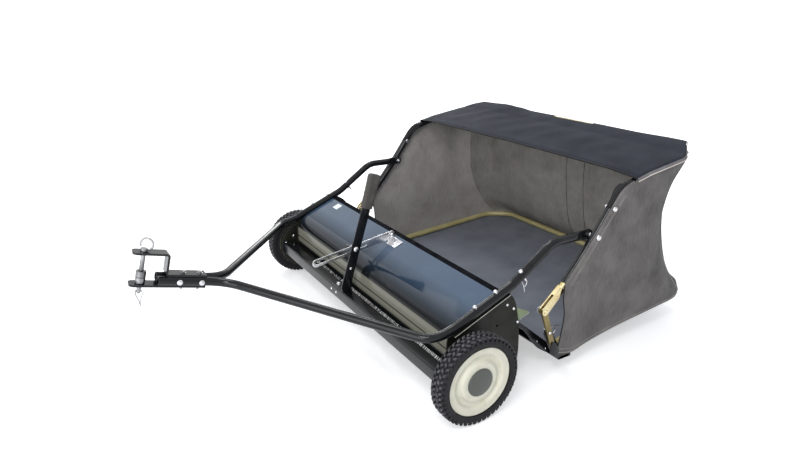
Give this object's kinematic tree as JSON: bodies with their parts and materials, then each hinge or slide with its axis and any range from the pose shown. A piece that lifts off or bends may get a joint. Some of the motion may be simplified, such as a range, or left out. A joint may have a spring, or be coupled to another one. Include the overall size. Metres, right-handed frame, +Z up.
{
  "type": "tow-behind lawn sweeper",
  "caption": "Tow-behind lawn sweeper: hitch drawbar, wheel-driven rotary brush under a curved cover, height lever, and a fabric hopper on a tube frame that tips and folds.",
  "frame": {"origin": "point on the ground midway between the two wheels, straight under the wheel axle", "axes": "+Y towards the hopper, -Y towards the hitch, +Z up, +X along the wheel axle"},
  "size_m": [1.2182, 1.7403, 0.643],
  "materials": {
    "black_paint": "gloss black paint",
    "cover_gloss": "high gloss black paint",
    "plate_black": "semi-gloss black paint",
    "yellow_zinc": "yellow zinc plate",
    "zinc": "bright zinc plate",
    "rubber": "matt black rubber",
    "ivory": "ivory moulding",
    "cap_grey": "dark grey moulding",
    "grip_black": "matt black moulding",
    "nylon": "natural nylon",
    "bristle": "black bristle",
    "mesh_cloth": "woven mesh",
    "top_cloth": "coated cloth",
    "floor_cloth": "coated floor sheet"
  },
  "bodies": {
    "housing": {"cover": "cover_gloss", "rear_deflector": "plate_black", "hitch_upper_bracket": "black_paint", "hitch_lower_bracket": "black_paint", "hitch_sleeve_lower": "zinc", "hitch_sleeve_upper": "zinc", "hitch_bolt_front": "zinc", "hitch_bolt_rear": "zinc", "strap_bracket": "zinc", "strap_pivot_bolt": "zinc", "end_plate_left": "plate_black", "brush_bush_left": "nylon", "drawbar_tube_left": "black_paint", "hopper_arm_left": "black_paint", "end_plate_right": "plate_black", "brush_bush_right": "nylon", "drawbar_tube_right": "black_paint", "hopper_arm_right": "black_paint"},
    "height_frame": {"cross_member": "black_paint", "height_lever": "black_paint", "lever_grip": "grip_black", "lever_bracket": "black_paint", "lever_bolt": "zinc", "axle_plate_left": "plate_black", "axle_plate_right": "plate_black"},
    "wheel_left": {"tyre_left": "rubber", "wheel_left": "ivory", "hub_cap_left": "cap_grey"},
    "wheel_right": {"tyre_right": "rubber", "wheel_right": "ivory", "hub_cap_right": "cap_grey"},
    "brush": {"brush_shaft": "zinc", "brush_core": "plate_black", "bristle_strip_1": "bristle", "bristle_strip_2": "bristle", "bristle_strip_3": "bristle", "bristle_strip_4": "bristle", "pinion_left": "nylon"},
    "pinion_right": {"pinion_right": "nylon"},
    "height_strap": {"height_strap": "zinc"},
    "wing_knob": {"wing_knob": "grip_black"},
    "hopper_upper": {"hopper_top_rail": "yellow_zinc", "hopper_top_cloth": "top_cloth", "hopper_back_cloth": "mesh_cloth", "hopper_side_tube_left": "black_paint", "hopper_fork_left": "yellow_zinc", "hopper_pivot_bolt_left": "zinc", "hopper_side_cloth_left": "mesh_cloth", "hopper_side_tube_right": "black_paint", "hopper_fork_right": "yellow_zinc", "hopper_pivot_bolt_right": "zinc", "hopper_side_cloth_right": "mesh_cloth"},
    "hopper_lower": {"hopper_lower_frame": "yellow_zinc", "hopper_floor": "floor_cloth", "hopper_front_bar": "black_paint", "hopper_link_left": "yellow_zinc", "hopper_link_right": "yellow_zinc"},
    "hitch_pin": {"hitch_pin": "zinc"},
    "hitch_clip": {"hitch_clip": "zinc"}
  },
  "joints": [
    {"name": "height_pivot", "type": "hinge", "parent": "housing", "child": "height_frame", "pos_m": [0, 0.075, 0.12], "axis": [1, 0, 0], "range_deg": [-5, 25]},
    {"name": "wheel_left_spin", "type": "hinge", "parent": "height_frame", "child": "wheel_left", "pos_m": [0.582, 0, 0.127], "axis": [1, 0, 0], "continuous": true},
    {"name": "wheel_right_spin", "type": "hinge", "parent": "height_frame", "child": "wheel_right", "pos_m": [-0.582, 0, 0.127], "axis": [1, 0, 0], "continuous": true},
    {"name": "brush_spin", "type": "hinge", "parent": "height_frame", "child": "brush", "pos_m": [0, 0.075, 0.12], "axis": [1, 0, 0], "continuous": true},
    {"name": "pinion_right_spin", "type": "hinge", "parent": "height_frame", "child": "pinion_right", "pos_m": [-0.5605, 0.075, 0.12], "axis": [1, 0, 0], "continuous": true},
    {"name": "strap_swing", "type": "hinge", "parent": "housing", "child": "height_strap", "pos_m": [0, 0.098, 0.318], "axis": [1, 0, 0], "range_deg": [-2.86, 14.3]},
    {"name": "knob_turn", "type": "hinge", "parent": "height_frame", "child": "wing_knob", "pos_m": [0, -0.04, 0.295], "axis": [1, 0, 0], "continuous": true},
    {"name": "hopper_dump", "type": "hinge", "parent": "housing", "child": "hopper_upper", "pos_m": [0, 0.438, 0.424], "axis": [1, 0, 0], "range_deg": [0, 80]},
    {"name": "hopper_fold", "type": "hinge", "parent": "hopper_upper", "child": "hopper_lower", "pos_m": [0, 0.267, 0.234], "axis": [1, 0, 0], "range_deg": [0, 38], "deforming": ["hopper_side_cloth_left", "hopper_side_cloth_right", "hopper_back_cloth"]},
    {"name": "pin_lift", "type": "slide", "parent": "housing", "child": "hitch_pin", "axis": [0, 0.2419, 0.9703], "range_m": [0, 0.015]},
    {"name": "clip_swing", "type": "hinge", "parent": "hitch_pin", "child": "hitch_clip", "pos_m": [0, -0.70071, 0.30807], "axis": [0, 0.9703, -0.2419], "range_deg": [-75, 75]}
  ],
  "couplings": [
    {"joint": "brush_spin", "follows": "wheel_left_spin", "ratio": 6},
    {"joint": "pinion_right_spin", "follows": "wheel_right_spin", "ratio": 6},
    {"joint": "strap_swing", "follows": "height_pivot", "ratio": 0.572}
  ]
}
